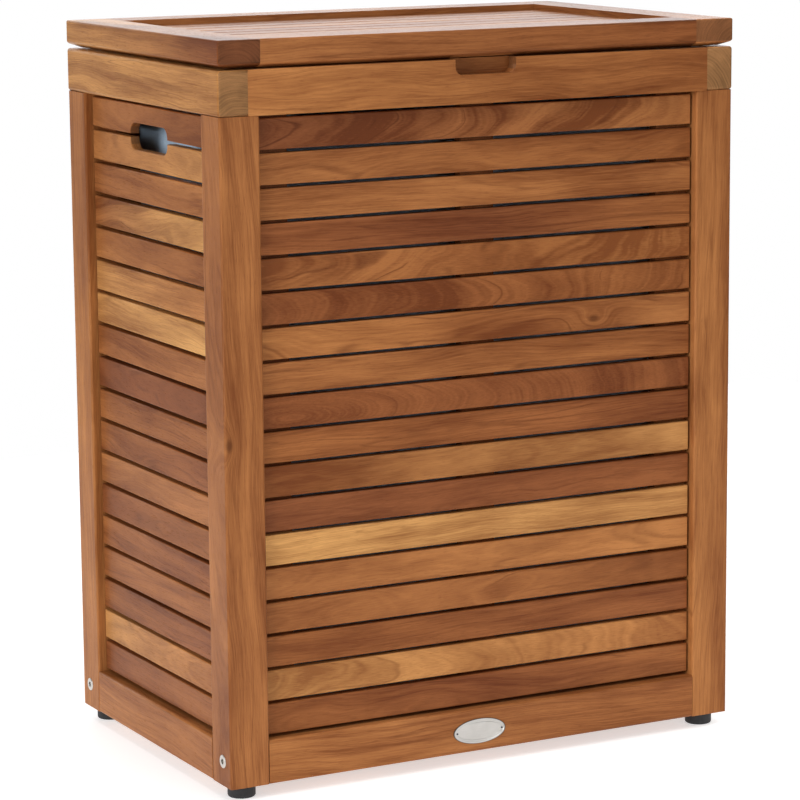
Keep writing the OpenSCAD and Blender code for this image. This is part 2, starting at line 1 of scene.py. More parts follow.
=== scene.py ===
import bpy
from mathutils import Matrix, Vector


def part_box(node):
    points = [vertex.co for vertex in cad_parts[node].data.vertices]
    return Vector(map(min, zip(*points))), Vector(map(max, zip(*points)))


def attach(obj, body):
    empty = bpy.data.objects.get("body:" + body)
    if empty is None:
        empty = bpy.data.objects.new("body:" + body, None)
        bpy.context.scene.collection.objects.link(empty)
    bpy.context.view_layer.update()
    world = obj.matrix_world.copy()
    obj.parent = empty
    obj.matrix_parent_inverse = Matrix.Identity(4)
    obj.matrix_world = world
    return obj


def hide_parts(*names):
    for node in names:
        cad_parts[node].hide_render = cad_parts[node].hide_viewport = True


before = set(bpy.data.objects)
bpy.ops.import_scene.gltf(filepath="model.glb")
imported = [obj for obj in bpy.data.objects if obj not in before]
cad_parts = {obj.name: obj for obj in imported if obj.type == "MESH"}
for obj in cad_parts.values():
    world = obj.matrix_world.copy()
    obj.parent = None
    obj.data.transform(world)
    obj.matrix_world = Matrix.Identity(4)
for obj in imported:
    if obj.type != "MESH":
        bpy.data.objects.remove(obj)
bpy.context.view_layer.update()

import math
import random

import bmesh
import bpy
from mathutils import Matrix, Vector

# ---- Corner posts ----
# Four square teak posts carry the whole hamper. Each is planed, its long edges are rounded,
# and two cap bolts near its lower end pull the front and back bottom rails tight.

POST_ROUND = 0.002
BOARD_END = 0.0003
BOLT_BORE = 0.0067
BORE_DEPTH = 0.0034
AXES = {"x": 0, "y": 1, "z": 2}


def linear(hex_colour):
    """Linear colour of an sRGB hex string."""
    parts = [int(hex_colour[i:i + 2], 16) / 255 for i in (0, 2, 4)]
    return [c / 12.92 if c <= 0.04045 else ((c + 0.055) / 1.055) ** 2.4 for c in parts]


# The shades in which teak boards come, from sapwood to heartwood
TEAK = {
    "straw": linear("c18b51"),
    "honey": linear("b37c47"),
    "golden": linear("a76b3b"),
    "amber": linear("9a6035"),
    "brown": linear("8e552d"),
    "russet": linear("844c29"),
    "chestnut": linear("7a4527"),
}


class Val:
    """One socket of a finish; arithmetic on it adds Math nodes."""

    def __init__(self, finish, socket):
        self.finish, self.socket = finish, socket

    def math(self, operation, *values):
        return self.finish.node("Math", {"operation": operation}, dict(enumerate(values)))

    def __add__(self, other): return self.math("ADD", self, other)
    def __radd__(self, other): return self.math("ADD", other, self)
    def __sub__(self, other): return self.math("SUBTRACT", self, other)
    def __rsub__(self, other): return self.math("SUBTRACT", other, self)
    def __mul__(self, other): return self.math("MULTIPLY", self, other)
    def __rmul__(self, other): return self.math("MULTIPLY", other, self)
    def __truediv__(self, other): return self.math("DIVIDE", self, other)
    def sin(self): return self.math("SINE", self)
    def exp(self): return self.math("EXPONENT", self)
    def root(self): return self.math("SQRT", self)
    def size(self): return self.math("ABSOLUTE", self)
    def least(self, other): return self.math("MINIMUM", self, other)
    def most(self, other): return self.math("MAXIMUM", self, other)

    def held(self):
        """The value, kept between 0 and 1."""
        return self.least(1.0).most(0.0)

    def step(self, low, high):
        """0 below low, 1 above high, smooth between."""
        return self.finish.node("MapRange", {"interpolation_type": "SMOOTHSTEP"},
                                {0: self, 1: low, 2: high, 3: 0.0, 4: 1.0})


class Finish:
    """A node material under construction, ending in one Principled shader."""

    def __init__(self, name):
        self.material = bpy.data.materials.new(name)
        self.material.use_nodes = True
        self.tree = self.material.node_tree
        self.tree.nodes.clear()

    def node(self, kind, settings, inputs, output=0):
        made = self.tree.nodes.new("ShaderNode" + kind)
        for key, value in settings.items():
            setattr(made, key, value)
        for key, value in inputs.items():
            if isinstance(value, Val):
                self.tree.links.new(value.socket, made.inputs[key])
            else:
                made.inputs[key].default_value = value
        return Val(self, made.outputs[output])

    def attribute(self, name, output="Vector"):
        return self.node("Attribute", {"attribute_name": name}, {}, output)

    def place(self):
        """Object coordinates, in metres."""
        return self.node("TexCoord", {}, {}, "Object")

    def split(self, vector):
        return [self.node("SeparateXYZ", {}, {0: vector}, axis) for axis in range(3)]

    def point(self, x, y, z=0.0):
        return self.node("CombineXYZ", {}, {0: x, 1: y, 2: z})

    def noise(self, where, scale=1.0, detail=2.0, roughness=0.5):
        return self.node("TexNoise", {}, {"Vector": where, "Scale": scale, "Detail": detail,
                                          "Roughness": roughness})

    def blend(self, amount, first, second, how="MIX"):
        """Colour mix; first and second are colours."""
        inputs = {0: amount}
        for slot, colour in ((6, first), (7, second)):
            inputs[slot] = colour if isinstance(colour, Val) else [*colour[:3], 1.0]
        return self.node("Mix", {"data_type": "RGBA", "blend_type": how}, inputs, 2)

    def tint(self, colour, by):
        return self.blend(1.0, colour, by, "MULTIPLY")

    def bump(self, height, distance, strength=1.0):
        return self.node("Bump", {}, {"Strength": strength, "Distance": distance, "Height": height})

    def shade(self, **sockets):
        """Principled shader from sockets named like Base_Color; ends the material."""
        sockets = {key.replace("_", " "): value for key, value in sockets.items()}
        shader = self.node("BsdfPrincipled", {}, sockets)
        out = self.tree.nodes.new("ShaderNodeOutputMaterial")
        self.tree.links.new(shader.socket, out.inputs[0])
        return self.material


def teak_finish():
    """Oiled and satin-lacquered teak. Each board carries its place in the log it was cut from:
    grain is along, across and through, measured from the log's heart, and tone is its colour."""
    wood = Finish("satin_teak")
    grain, knot = wood.attribute("grain"), wood.attribute("knot")
    tone, figure = wood.attribute("tone", "Color"), wood.attribute("tone", "Alpha")
    end_cut = wood.attribute("end_cut", "Fac")
    u, v, w = wood.split(grain)
    ku, kv, _ = wood.split(knot)
    knot_d = (ku * ku * 0.3 + kv * kv).root()
    wander = wood.noise(wood.point(u * 5.0, v * 12.0, w * 12.0), 1.0, 1.5) - 0.5
    ripple = wood.noise(wood.point(u * 26.0, v * 60.0, w * 60.0), 1.0, 1.0) - 0.5
    swell = (0.0 - (knot_d / 0.010) * (knot_d / 0.010)).exp()
    ring = ((v * v + w * w).root() + wander * (figure * 0.030 + 0.006)
            + ripple * 0.0022 + swell * 0.008)
    zones = wood.noise(wood.point(u * 4.0, ring * 70.0, 1.0), 1.0, 2.0)
    bands = wood.noise(wood.point(u * 7.0, ring * 300.0, 5.0), 1.0, 2.5, 0.6)
    lines = wood.noise(wood.point(u * 18.0, ring * 1000.0, 9.0), 1.0, 1.5)
    flecks = wood.noise(wood.point(u * 55.0, v * 1150.0, w * 1150.0), 1.0, 1.5)
    pores = wood.noise(wood.point(u * 140.0, v * 1700.0, w * 1700.0), 1.0, 0.0).step(0.64, 0.78)
    blotch = wood.noise(wood.point(u * 12.0, v * 34.0, w * 34.0), 1.0, 2.0)
    cloud = wood.noise(wood.point(u * 4.0, v * 15.0, w * 15.0), 1.0, 1.0)
    contour = wood.noise(wood.point(u * 2.5, ring * 75.0, 13.0), 1.0, 1.0)
    vein = (contour - 0.5).size().step(0.016, 0.0) * blotch.step(0.42, 0.56) * figure
    heart = (figure * ((zones - 0.5) * 2.8 + (bands - 0.5) * 1.5) + (lines - 0.5) * 0.70
             + (flecks - 0.5) * 0.60 + (blotch - 0.5) * 0.9 + (cloud - 0.5) * 0.9 + 0.5).held()
    late = bands.step(0.60, 0.72) * figure * 0.40 + pores * 0.22 + vein * 0.62
    light = wood.tint(tone, (1.34, 1.44, 1.50))
    dark = wood.tint(tone, (0.60, 0.50, 0.46))
    face = wood.blend(heart, dark, light)
    face = wood.blend(late.held(), face, wood.tint(tone, (0.40, 0.30, 0.27)))
    inside = knot_d.step(0.0050, 0.0012)
    face = wood.blend(inside * 0.62, face, wood.tint(tone, (0.22, 0.15, 0.13)))
    arcs = wood.noise(wood.point(blotch * 2.0, ring * 700.0, v * 30.0), 1.0, 2.5)
    open_end = wood.blend((arcs - 0.5) * 1.6 + (blotch - 0.5) * 1.5 + 0.5,
                          wood.tint(tone, (0.42, 0.46, 0.56)), wood.tint(tone, (0.86, 0.93, 1.16)))
    speck = wood.noise(wood.point(u, v * 1100.0, w * 1100.0), 1.0, 1.0).step(0.50, 0.75)
    open_end = wood.blend(speck * 0.3, open_end, wood.tint(tone, (0.40, 0.36, 0.36)))
    colour = wood.blend(end_cut, face, open_end)
    height = flecks * 0.5 + lines * 0.25 - pores * 0.9
    return wood.shade(
        Base_Color=colour,
        Roughness=0.36 + pores * 0.2 + (flecks - 0.5) * 0.12 + end_cut * 0.14,
        IOR=1.2, Normal=wood.bump(height, 0.00015, 0.6))


teak = teak_finish()


def put(name, bm, material):
    """Makes an object of a finished mesh, with its one finish."""
    mesh = bpy.data.meshes.new(name)
    bm.to_mesh(mesh)
    bm.free()
    mesh.materials.append(material)
    made = bpy.data.objects.new(name, mesh)
    bpy.context.scene.collection.objects.link(made)
    return made


class Timber:
    """A wooden piece under construction, made of one or more boards."""

    def __init__(self):
        self.bm = bmesh.new()
        self.grain = self.bm.verts.layers.float_vector.new("grain")
        self.knot = self.bm.verts.layers.float_vector.new("knot")
        self.tone = self.bm.verts.layers.float_color.new("tone")
        self.end_cut = self.bm.faces.layers.float.new("end_cut")

    def block(self, low, high):
        """A squared board between two corners."""
        low, high = Vector(low), Vector(high)
        self.low, self.high = low, high
        bmesh.ops.create_cube(self.bm, size=1, matrix=Matrix.LocRotScale(
            (low + high) / 2, None, high - low))

    def rough_verts(self):
        """Vertices of the board in hand, which has no place in a log yet."""
        return [v for v in self.bm.verts if v[self.grain].x == 0]

    def edges(self, wanted):
        """Edges of the board in hand, chosen by their middle and their direction."""
        return [e for e in self.bm.edges if e.verts[0][self.grain].x == 0 and
                wanted((e.verts[0].co + e.verts[1].co) / 2,
                       (e.verts[1].co - e.verts[0].co).normalized())]

    def round(self, edges, radius, segments=3):
        bmesh.ops.bevel(self.bm, geom=edges, offset=radius, offset_type="OFFSET",
                        segments=segments, profile=0.5, affect="EDGES", material=-1,
                        clamp_overlap=True)

    def ease(self, along, radius, ends=BOARD_END, segments=3):
        """Rounds the long edges, and just breaks the edges of the ends."""
        axis = AXES[along]
        self.round(self.edges(lambda m, d: abs(d[axis]) > 0.9), radius, segments)
        limits = (self.low[axis], self.high[axis])
        self.round(self.edges(lambda m, d: abs(d[axis]) < 0.1 and
                              min(abs(m[axis] - x) for x in limits) < 1e-6), ends, 1)

    def score(self, normal, at):
        """Cuts the faces of the board in hand along a plane, which leaves it whole."""
        verts = self.rough_verts()
        parts = [*verts, *{e for v in verts for e in v.link_edges},
                 *{f for v in verts for f in v.link_faces}]
        bmesh.ops.bisect_plane(self.bm, geom=parts, dist=1e-6, plane_no=normal, plane_co=at)

    def bore(self, centre, normal, radius, depth, sides=32):
        """Round blind hole in the flat face that normal points out of."""
        centre, normal = Vector(centre), Vector(normal)
        across = [Vector(a) for a in ((1, 0, 0), (0, 1, 0), (0, 0, 1))
                  if abs(Vector(a).dot(normal)) < 0.5]
        for axis in across:
            for way in (-1, 1):
                self.score(axis, centre + way * radius * 1.5 * axis)
        patch = min((f for f in self.bm.faces if f.normal.dot(normal) > 0.99),
                    key=lambda f: (f.calc_center_median() - centre).length)
        rim = list(patch.edges)
        bmesh.ops.delete(self.bm, geom=[patch], context="FACES_ONLY")
        cut = bmesh.ops.subdivide_edges(self.bm, edges=rim, cuts=sides // 4 - 1)
        outer = {e for e in cut["geom"] if isinstance(e, bmesh.types.BMEdge) and
                 e.is_boundary}
        turn = normal.to_track_quat("Z", "Y").to_matrix().to_4x4()
        spin = Matrix.Rotation(math.pi / 4, 4, "Z")
        ring = bmesh.ops.create_circle(self.bm, segments=sides, radius=radius,
                                       matrix=Matrix.Translation(centre) @ turn @ spin)
        inner = {e for v in ring["verts"] for e in v.link_edges}
        bmesh.ops.bridge_loops(self.bm, edges=[*outer, *inner])
        wall = bmesh.ops.extrude_edge_only(self.bm, edges=list(inner))["geom"]
        floor = [v for v in wall if isinstance(v, bmesh.types.BMVert)]
        bmesh.ops.translate(self.bm, verts=floor, vec=-depth * normal)
        bmesh.ops.contextual_create(self.bm, geom=[
            e for e in wall if isinstance(e, bmesh.types.BMEdge)])

    def log(self, along, through, name, tones, figure=0.6, knot=None, reach=None, slope=None,
            tilt=0.0):
        """Gives the board in hand its place in a log: tones are its shades along its length.
        Slope leans it across the grain, and tilt through it, which draws arches."""
        luck = random.Random(name)
        u, w = AXES[along], AXES[through]
        v = 3 - u - w
        middle, half = (self.low + self.high) / 2, (self.high[u] - self.low[u]) / 2
        angle = math.radians(luck.uniform(80, 100) if tilt else luck.uniform(15, 165))
        reach = luck.uniform(0.03, 0.10) if reach is None else reach
        slope = luck.uniform(-0.05, 0.05) if slope is None else slope
        start = luck.uniform(1.0, 30.0)
        shades = [TEAK[tone] for tone in ((tones, tones) if isinstance(tones, str) else tones)]
        spans = len(shades) - 1
        for stop in range(1, spans):
            at = middle.copy()
            at[u] = self.low[u] + 2 * half * stop / spans
            self.score([float(n == u) for n in range(3)], at)
        rough = self.rough_verts()
        for vert in rough:
            here = vert.co - middle
            part = min(1.0, max(0.0, 0.5 + here[u] / half / 2)) * spans
            first = min(int(part), spans - 1)
            part -= first
            vert[self.grain] = (here[u] + start,
                                here[v] + reach * math.cos(angle) + slope * here[u],
                                here[w] + reach * math.sin(angle) + tilt * here[u])
            at = (here[u] - knot[0], here[v] - knot[1]) if knot else (1.0, 1.0)
            vert[self.knot] = (*at, 0.0)
            vert[self.tone] = [*(a + (b - a) * part for a, b in
                                 zip(shades[first], shades[first + 1])), figure]
        for face in {f for vert in rough for f in vert.link_faces}:
            face[self.end_cut] = float(abs(face.normal[u]) > 0.8)
            face.smooth = max(abs(c) for c in face.normal) < 0.9999

    def piece(self, name, body, *nodes):
        """Finishes the piece: it rides on a body and stands for its CAD nodes."""
        self.bm.normal_update()
        made = put(name, self.bm, teak)
        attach(made, body)
        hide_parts(*nodes)
        return made


POSTS = {
    "front_left": "amber", "front_right": ("golden", "amber"),
    "back_left": "golden", "back_right": "amber",
}
bolt_low, bolt_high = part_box("frame_bolts")
rail_low, rail_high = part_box("bottom_rail_front")
bolt_y = -(rail_low.y + rail_high.y) / 2
bolt_z = (bolt_low.z + bolt_high.z) / 2
for corner, tones in POSTS.items():
    low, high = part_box("post_" + corner)
    way = 1 if corner.endswith("right") else -1
    face_y = -1 if corner.startswith("front") else 1
    post = Timber()
    post.block(low, high)
    post.ease("z", POST_ROUND)
    outside = high.x if way > 0 else low.x
    post.bore((outside, face_y * bolt_y, bolt_z), (way, 0, 0), BOLT_BORE, BORE_DEPTH)
    knot = (0.013, -0.016) if corner == "front_left" else None
    post.log("z", "y", "post" + corner, tones, 0.55, knot)
    post.piece("teak_post_" + corner, "carcass", "post_" + corner)

# ---- Bottom rails ----
# Four teak rails join the posts at the foot. The front and back ones are bolted,
# the two at the sides are dowelled. All are flush with the posts' faces.

RAILS = {
    "front": ("x", "y", ("golden", "amber", "brown")), "back": ("x", "y", ("brown", "amber")),
    "left": ("y", "x", ("amber", "golden")), "right": ("y", "x", ("brown", "amber")),
}
for side, (along, through, tones) in RAILS.items():
    rail = Timber()
    rail.block(*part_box("bottom_rail_" + side))
    rail.ease(along, POST_ROUND)
    rail.log(along, through, "rail" + side, tones, 0.6)
    rail.piece("teak_bottom_rail_" + side, "carcass", "bottom_rail_" + side)

# ---- Front slats ----
# Eighteen thin teak slats close the front, each nailed from behind to three battens.
# Boards from many logs are mixed, so hardly two neighbours have one colour.

SLAT_ROUND = 0.001
# From the top board down: its shades from left to right, and how bold its figure is
FRONT = [
    (("chestnut", "amber"), 1.0), (("amber", "brown"), 0.6), ("amber", 0.6),
    (("russet", "chestnut", "brown"), 0.7), (("amber", "brown", "golden"), 1.0),
    (("russet", "brown"), 0.8), (("golden", "brown", "amber"), 0.8), (("amber", "brown"), 0.6),
    ("russet", 0.45), (("brown", "russet"), 0.6), (("brown", "honey"), 0.7),
    (("chestnut", "russet"), 0.5), (("straw", "honey"), 0.6), (("amber", "golden"), 0.5),
    (("amber", "brown"), 0.6), (("brown", "russet"), 0.5), (("honey", "golden"), 0.6),
    (("brown", "russet", "brown"), 0.7),
]
# A board's knot, and the boards cut with arches: how far off the heart, and how tilted to it
SLAT_KNOTS = {7: (0.125, -0.0035)}
ARCHED = {1: (0.06, 0.16), 5: (0.09, 0.10), 6: (0.07, 0.14), 9: (0.05, 0.22), 17: (0.08, 0.08)}
for number, (tones, figure) in enumerate(FRONT, 1):
    reach, tilt = ARCHED.get(number, (None, 0.0))
    slat = Timber()
    slat.block(*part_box(f"front_slat_{number}"))
    slat.ease("x", SLAT_ROUND)
    slat.log("x", "y", f"front{number}", tones, figure, SLAT_KNOTS.get(number), reach, tilt=tilt)
    slat.piece(f"teak_front_slat_{number:02d}", "carcass", f"front_slat_{number}")

# ---- Back and side slats ----
# The other three panels are slatted alike. The top two slats of each side panel
# are cut out to make a hand hole, rounded where the fingers go.

SLATS = 18
SLAT_GAP = 0.0034
HAND_HOLE = (0.087, 0.026)
HAND_ROUND = 0.010
# Shades of each panel's boards, from the top one down; a pair is the front and back end
BACK = ["brown", "amber", "golden", "brown", "russet", "amber", "honey", "brown", "amber",
        "russet", "brown", "golden", "amber", "brown", "chestnut", "amber", "brown", "golden"]
LEFT = [("brown", "amber"), ("honey", "golden"), ("golden", "brown"), ("straw", "brown"),
        ("brown", "golden"), ("golden", "honey"), ("straw", "honey"), ("amber", "brown"),
        "chestnut", "brown", ("russet", "brown"), "amber", ("brown", "russet"),
        ("russet", "brown"), "brown", ("russet", "brown"), ("golden", "honey"),
        ("brown", "russet")]
RIGHT = ["golden", "brown", "amber", "amber", "russet", "honey", "brown", "amber", "golden",
         "brown", "chestnut", "amber", "amber", "brown", "honey", "amber", "russet", "amber"]


def slat_rows(node):
    """Lowest and highest corner of each slat of a panel, from the top one down."""
    low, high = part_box(node)
    pitch = (high.z - low.z + SLAT_GAP) / SLATS
    for row in range(SLATS):
        top = high.z - row * pitch
        yield Vector((low.x, low.y, top - pitch + SLAT_GAP)), Vector((high.x, high.y, top))


def hand_slat(timber, low, high, upper):
    """Side slat with half a hand hole: its outline is drawn on edge, then given thickness."""
    wide = HAND_HOLE[0] / 2
    deep = (HAND_HOLE[1] - SLAT_GAP) / 2
    edge, far = (low.z, high.z) if upper else (high.z, low.z)
    inner = edge + (deep if upper else -deep)
    outline = [(low.y, edge), (-wide, edge), (-wide, inner), (wide, inner), (wide, edge),
               (high.y, edge), (high.y, far), (low.y, far)]
    timber.low, timber.high = low, high
    bm = timber.bm
    verts = [bm.verts.new((low.x, y, z)) for y, z in outline]
    face = bm.faces.new(verts)
    bmesh.ops.bevel(bm, geom=[verts[2], verts[3]], offset=HAND_ROUND, offset_type="OFFSET",
                    segments=8, profile=0.5, affect="VERTICES", material=-1)
    face = [f for f in bm.faces if all(v[timber.grain].x == 0 for v in f.verts)]
    grown = bmesh.ops.extrude_face_region(bm, geom=face)["geom"]
    moved = [v for v in grown if isinstance(v, bmesh.types.BMVert)]
    bmesh.ops.translate(bm, verts=moved, vec=(high.x - low.x, 0, 0))
    fresh = {f for v in timber.rough_verts() for f in v.link_faces}
    bmesh.ops.recalc_face_normals(bm, faces=list(fresh))
    timber.round(timber.edges(lambda m, d: abs(d.x) < 0.1 and abs(m.y) < high.y - 1e-5),
                 SLAT_ROUND, 3)


def side_panel(side, tones):
    panel = Timber()
    for row, (low, high) in enumerate(slat_rows(side + "_slats")):
        if row < 2:
            hand_slat(panel, low, high, row == 0)
        else:
            panel.block(low, high)
            panel.ease("y", SLAT_ROUND)
        slope = 0.16 if (side, row) == ("left", 3) else None
        panel.log("y", "x", f"{side}{row}", tones[row], 1.0 if slope else 0.6, slope=slope)
    panel.piece(f"teak_{side}_slats", "carcass", side + "_slats")


back_panel = Timber()
for row, (low, high) in enumerate(slat_rows("back_slats")):
    back_panel.block(low, high)
    back_panel.ease("x", SLAT_ROUND)
    back_panel.log("x", "y", f"back{row}", BACK[row], 0.65)
back_panel.piece("teak_back_slats", "carcass", "back_slats")
side_panel("left", LEFT)
side_panel("right", RIGHT)

# ---- Battens, cleats and floor ----
# Upright battens behind the slats hold each panel together. Two cleats inside the
# bottom rails carry seven broad floor slats.

def battens(name, node, boxes, along, through, tone):
    """A piece made of plain boards between the given corners."""
    timber = Timber()
    for count, (low, high) in enumerate(boxes):
        timber.block(low, high)
        timber.ease(along, SLAT_ROUND / 2)
        timber.log(along, through, f"{node}{count}", tone, 0.5)
    timber.piece(name, "carcass", node)


BATTEN = (0.036, 0.012)
low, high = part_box("panel_battens")
rows = []
for y0 in (low.y, high.y - BATTEN[1]):
    for x0 in (low.x, -BATTEN[0] / 2, high.x - BATTEN[0]):
        rows.append(((x0, y0, low.z), (x0 + BATTEN[0], y0 + BATTEN[1], high.z)))
battens("teak_panel_battens", "panel_battens", rows, "z", "y", "russet")
low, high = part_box("side_battens")
rows = []
for x0 in (low.x, high.x - BATTEN[1]):
    for y0 in (low.y, high.y - BATTEN[0]):
        rows.append(((x0, y0, low.z), (x0 + BATTEN[1], y0 + BATTEN[0], high.z)))
battens("teak_side_battens", "side_battens", rows, "z", "x", "russet")

low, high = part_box("floor_cleats")
CLEAT = 0.020
rows = [((low.x, y0, low.z), (high.x, y0 + CLEAT, high.z)) for y0 in (low.y, high.y - CLEAT)]
battens("teak_floor_cleats", "floor_cleats", rows, "x", "z", "brown")
low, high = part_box("floor_slats")
FLOOR_SLATS, FLOOR_SLAT_W = 7, 0.054
pitch = (high.x - low.x - FLOOR_SLAT_W) / (FLOOR_SLATS - 1)
rows = [((low.x + n * pitch, low.y, low.z), (low.x + n * pitch + FLOOR_SLAT_W, high.y, high.z))
        for n in range(FLOOR_SLATS)]
battens("teak_floor_slats", "floor_slats", rows, "y", "z", "amber")

# ---- Rim ----
# A teak frame laid flat on the posts. The side rails run through and show their end
# grain at the front; the front rail has a shallow notch for the fingers that lift the lid.

RIM_ROUND = 0.003
NOTCH = (0.066, 0.015, 0.014)
NOTCH_ROUND = 0.008


def through_rail(name, node, body, side, tones, radius, chamfer=None, reach=None):
    """Side rail of a frame: everything but its inner face's edges is rounded."""
    low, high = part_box(node)
    inner_x = high.x if side < 0 else low.x
    rail = Timber()
    rail.block(low, high)
    if chamfer:
        undercut(rail, chamfer, outer_x=side, outer_y=0)
    rail.round(rail.edges(lambda m, d: abs(m.x - inner_x) > 1e-5 and
                          (not chamfer or m.z > low.z + chamfer[1] * 0.2)), radius, 4)
    rail.log("y", "z", node, tones, 0.7, reach=reach, slope=0.02)
    return rail.piece(name, body, node)


def undercut(rail, chamfer, outer_x, outer_y):
    """Broad chamfer below the outer faces: a cut round the rail, and its lower loop moved in."""
    wide, tall = chamfer
    rail.score((0, 0, 1), (0, 0, rail.low.z + tall))
    for vert in rail.rough_verts():
        if abs(vert.co.z - rail.low.z) > 1e-6:
            continue
        if outer_x and abs(vert.co.x - (rail.low.x if outer_x < 0 else rail.high.x)) < 1e-6:
            vert.co.x -= outer_x * wide
        ends = (rail.low.y, rail.high.y) if outer_y == 0 else (
            (rail.low.y,) if outer_y < 0 else (rail.high.y,))
        for end in ends:
            if abs(vert.co.y - end) < 1e-6:
                vert.co.y -= math.copysign(wide, end)
                break


through_rail("teak_rim_left", "rim_side_rail_left", "carcass", -1, "honey", RIM_ROUND,
             reach=0.05)
through_rail("teak_rim_right", "rim_side_rail_right", "carcass", 1, ("honey", "golden"), RIM_ROUND,
             reach=0.045)


def cross_rail(name, node, body, side, tones, radius, chamfer=None):
    """Front or back rail of a frame, between the side rails."""
    low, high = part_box(node)
    outer_y = low.y if side < 0 else high.y
    rail = Timber()
    rail.block(low, high)
    if chamfer:
        undercut(rail, chamfer, outer_x=0, outer_y=side)
    rail.round(rail.edges(lambda m, d: abs(d.x) > 0.9 and abs(m.y - outer_y) < 1e-5), radius, 4)
    rail.log("x", "z", node, tones, 0.6)
    return rail.piece(name, body, node)


def notched_rail(tones):
    """Front rail: drawn as two flat areas at the notch's depth, the rail's and the notch's."""
    low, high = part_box("rim_front_rail")
    wide, tall, deep = NOTCH
    rail = Timber()
    rail.low, rail.high = low, high
    bm = rail.bm
    y = low.y + deep
    foot = high.z - tall
    corners = {name: bm.verts.new((x, y, z)) for name, x, z in (
        ("a", low.x, high.z), ("b", low.x, low.z), ("c", high.x, low.z), ("d", high.x, high.z),
        ("e", wide / 2, high.z), ("f", wide / 2, foot), ("g", -wide / 2, foot),
        ("h", -wide / 2, high.z))}
    bm.faces.new([corners[k] for k in "abcdefgh"])
    bm.faces.new([corners[k] for k in "hgfe"])
    bmesh.ops.bevel(bm, geom=[corners["f"], corners["g"]], offset=NOTCH_ROUND,
                    offset_type="OFFSET", segments=8, profile=0.5, affect="VERTICES", material=-1)
    bm.normal_update()
    flats = list(bm.faces)
    grown = bmesh.ops.extrude_face_region(bm, geom=flats)["geom"]
    bmesh.ops.translate(bm, vec=(0, high.y - y, 0), verts=[
        v for v in grown if isinstance(v, bmesh.types.BMVert)])
    front = max((f for f in bm.faces if abs(f.calc_center_median().y - y) < 1e-6),
                key=lambda f: f.calc_area())
    grown = bmesh.ops.extrude_face_region(bm, geom=[front])["geom"]
    bmesh.ops.translate(bm, vec=(0, -deep, 0), verts=[
        v for v in grown if isinstance(v, bmesh.types.BMVert)])
    bmesh.ops.recalc_face_normals(bm, faces=list(bm.faces))
    rail.round(rail.edges(lambda m, d: abs(d.x) > 0.9 and abs(m.y - low.y) < 1e-5 and
                          abs(m.x) > 1e-3), RIM_ROUND, 4)
    rail.log("x", "z", "rim_front_rail", tones, 0.6)
    rail.piece("teak_rim_front", "carcass", "rim_front_rail")


notched_rail(("golden", "brown"))
cross_rail("teak_rim_back", "rim_back_rail", "carcass", 1, ("amber", "brown"), RIM_ROUND)

# ---- Lid ----
# The lid's frame is made like the rim, with a broad chamfer below that shows as a V groove
# when it is shut. Eight slats lie in it, let into the side rails, over one batten.

LID_ROUND = 0.0018
LID_CHAMFER = (0.010, 0.004)
LID_SLATS, LID_SLAT_GAP = 8, 0.0034
LID_TONES = ["brown", "amber", "golden", "amber", "brown", "golden", "amber", "amber"]
through_rail("teak_lid_left", "lid_side_rail_left", "lid", -1, ("russet", "honey"), LID_ROUND,
             LID_CHAMFER, reach=0.03)
through_rail("teak_lid_right", "lid_side_rail_right", "lid", 1, "amber", LID_ROUND,
             LID_CHAMFER, reach=0.035)
cross_rail("teak_lid_front", "lid_front_rail", "lid", -1, ("amber", "russet"), LID_ROUND, LID_CHAMFER)
cross_rail("teak_lid_back", "lid_back_rail", "lid", 1, "amber", LID_ROUND, LID_CHAMFER)
low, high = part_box("lid_slats")
pitch = (high.y - low.y + LID_SLAT_GAP) / LID_SLATS
lid_slats = Timber()
for count, tone in enumerate(LID_TONES):
    y0 = low.y + count * pitch
    lid_slats.block((low.x, y0, low.z), (high.x, y0 + pitch - LID_SLAT_GAP, high.z))
    lid_slats.ease("x", SLAT_ROUND)
    lid_slats.log("x", "z", f"lid{count}", tone, 0.6)
lid_slats.piece("teak_lid_slats", "lid", "lid_slats")
lid_batten = Timber()
lid_batten.block(*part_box("lid_batten"))
lid_batten.ease("y", SLAT_ROUND / 2)
lid_batten.log("y", "z", "lid_batten", "brown", 0.5)
lid_batten.piece("teak_lid_batten", "lid", "lid_batten")

# ---- Metal fittings ----
# Nickel-plated cap bolts with a hex socket, the nuts and knobs they go with, steel hinges,
# nails and screws, and the dowels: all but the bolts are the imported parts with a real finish.

BOLT_HEAD = (0.0065, 0.003)
BOLT_SOCKET = (0.0030, 0.0026)
BOLT_SHANK = (0.003, 0.0765)
BOLT_SHOULDER = 0.0006
ROUND_STEPS = 48


def metal_finish(name, colour, roughness, rub):
    """Plated or polished metal with fine rub marks that run every way."""
    metal = Finish(name)
    place = metal.place()
    x, y, z = metal.split(place)
    haze = metal.noise(place, 160.0, 3.0)
    rubbed = metal.noise(metal.point(x * 900.0, y * 5000.0, z * 2600.0), 1.0, 2.0)
    shade = metal.blend((haze - 0.5) * 1.2 + 0.5, [c * 0.82 for c in colour], colour)
    return metal.shade(
        Base_Color=shade, Metallic=1.0, Roughness=roughness + (rubbed - 0.5) * rub + haze * 0.06,
        Normal=metal.bump(rubbed, 0.00003, 0.5))


nickel = metal_finish("satin_nickel", (0.66, 0.64, 0.60), 0.26, 0.16)
steel = metal_finish("plated_steel", (0.62, 0.62, 0.61), 0.30, 0.20)


def dowel_finish():
    """Pale turned beech with a fine grain along the peg."""
    beech = Finish("beech_dowel")
    x, y, z = beech.split(beech.place())
    grain = beech.noise(beech.point(x * 60.0, y * 1400.0, z * 1400.0), 1.0, 2.0)
    return beech.shade(Base_Color=beech.blend(grain, linear("b08a5c"), linear("d8b98a")),
                       Roughness=0.55 + (grain - 0.5) * 0.2,
                       Normal=beech.bump(grain, 0.0001, 0.5))


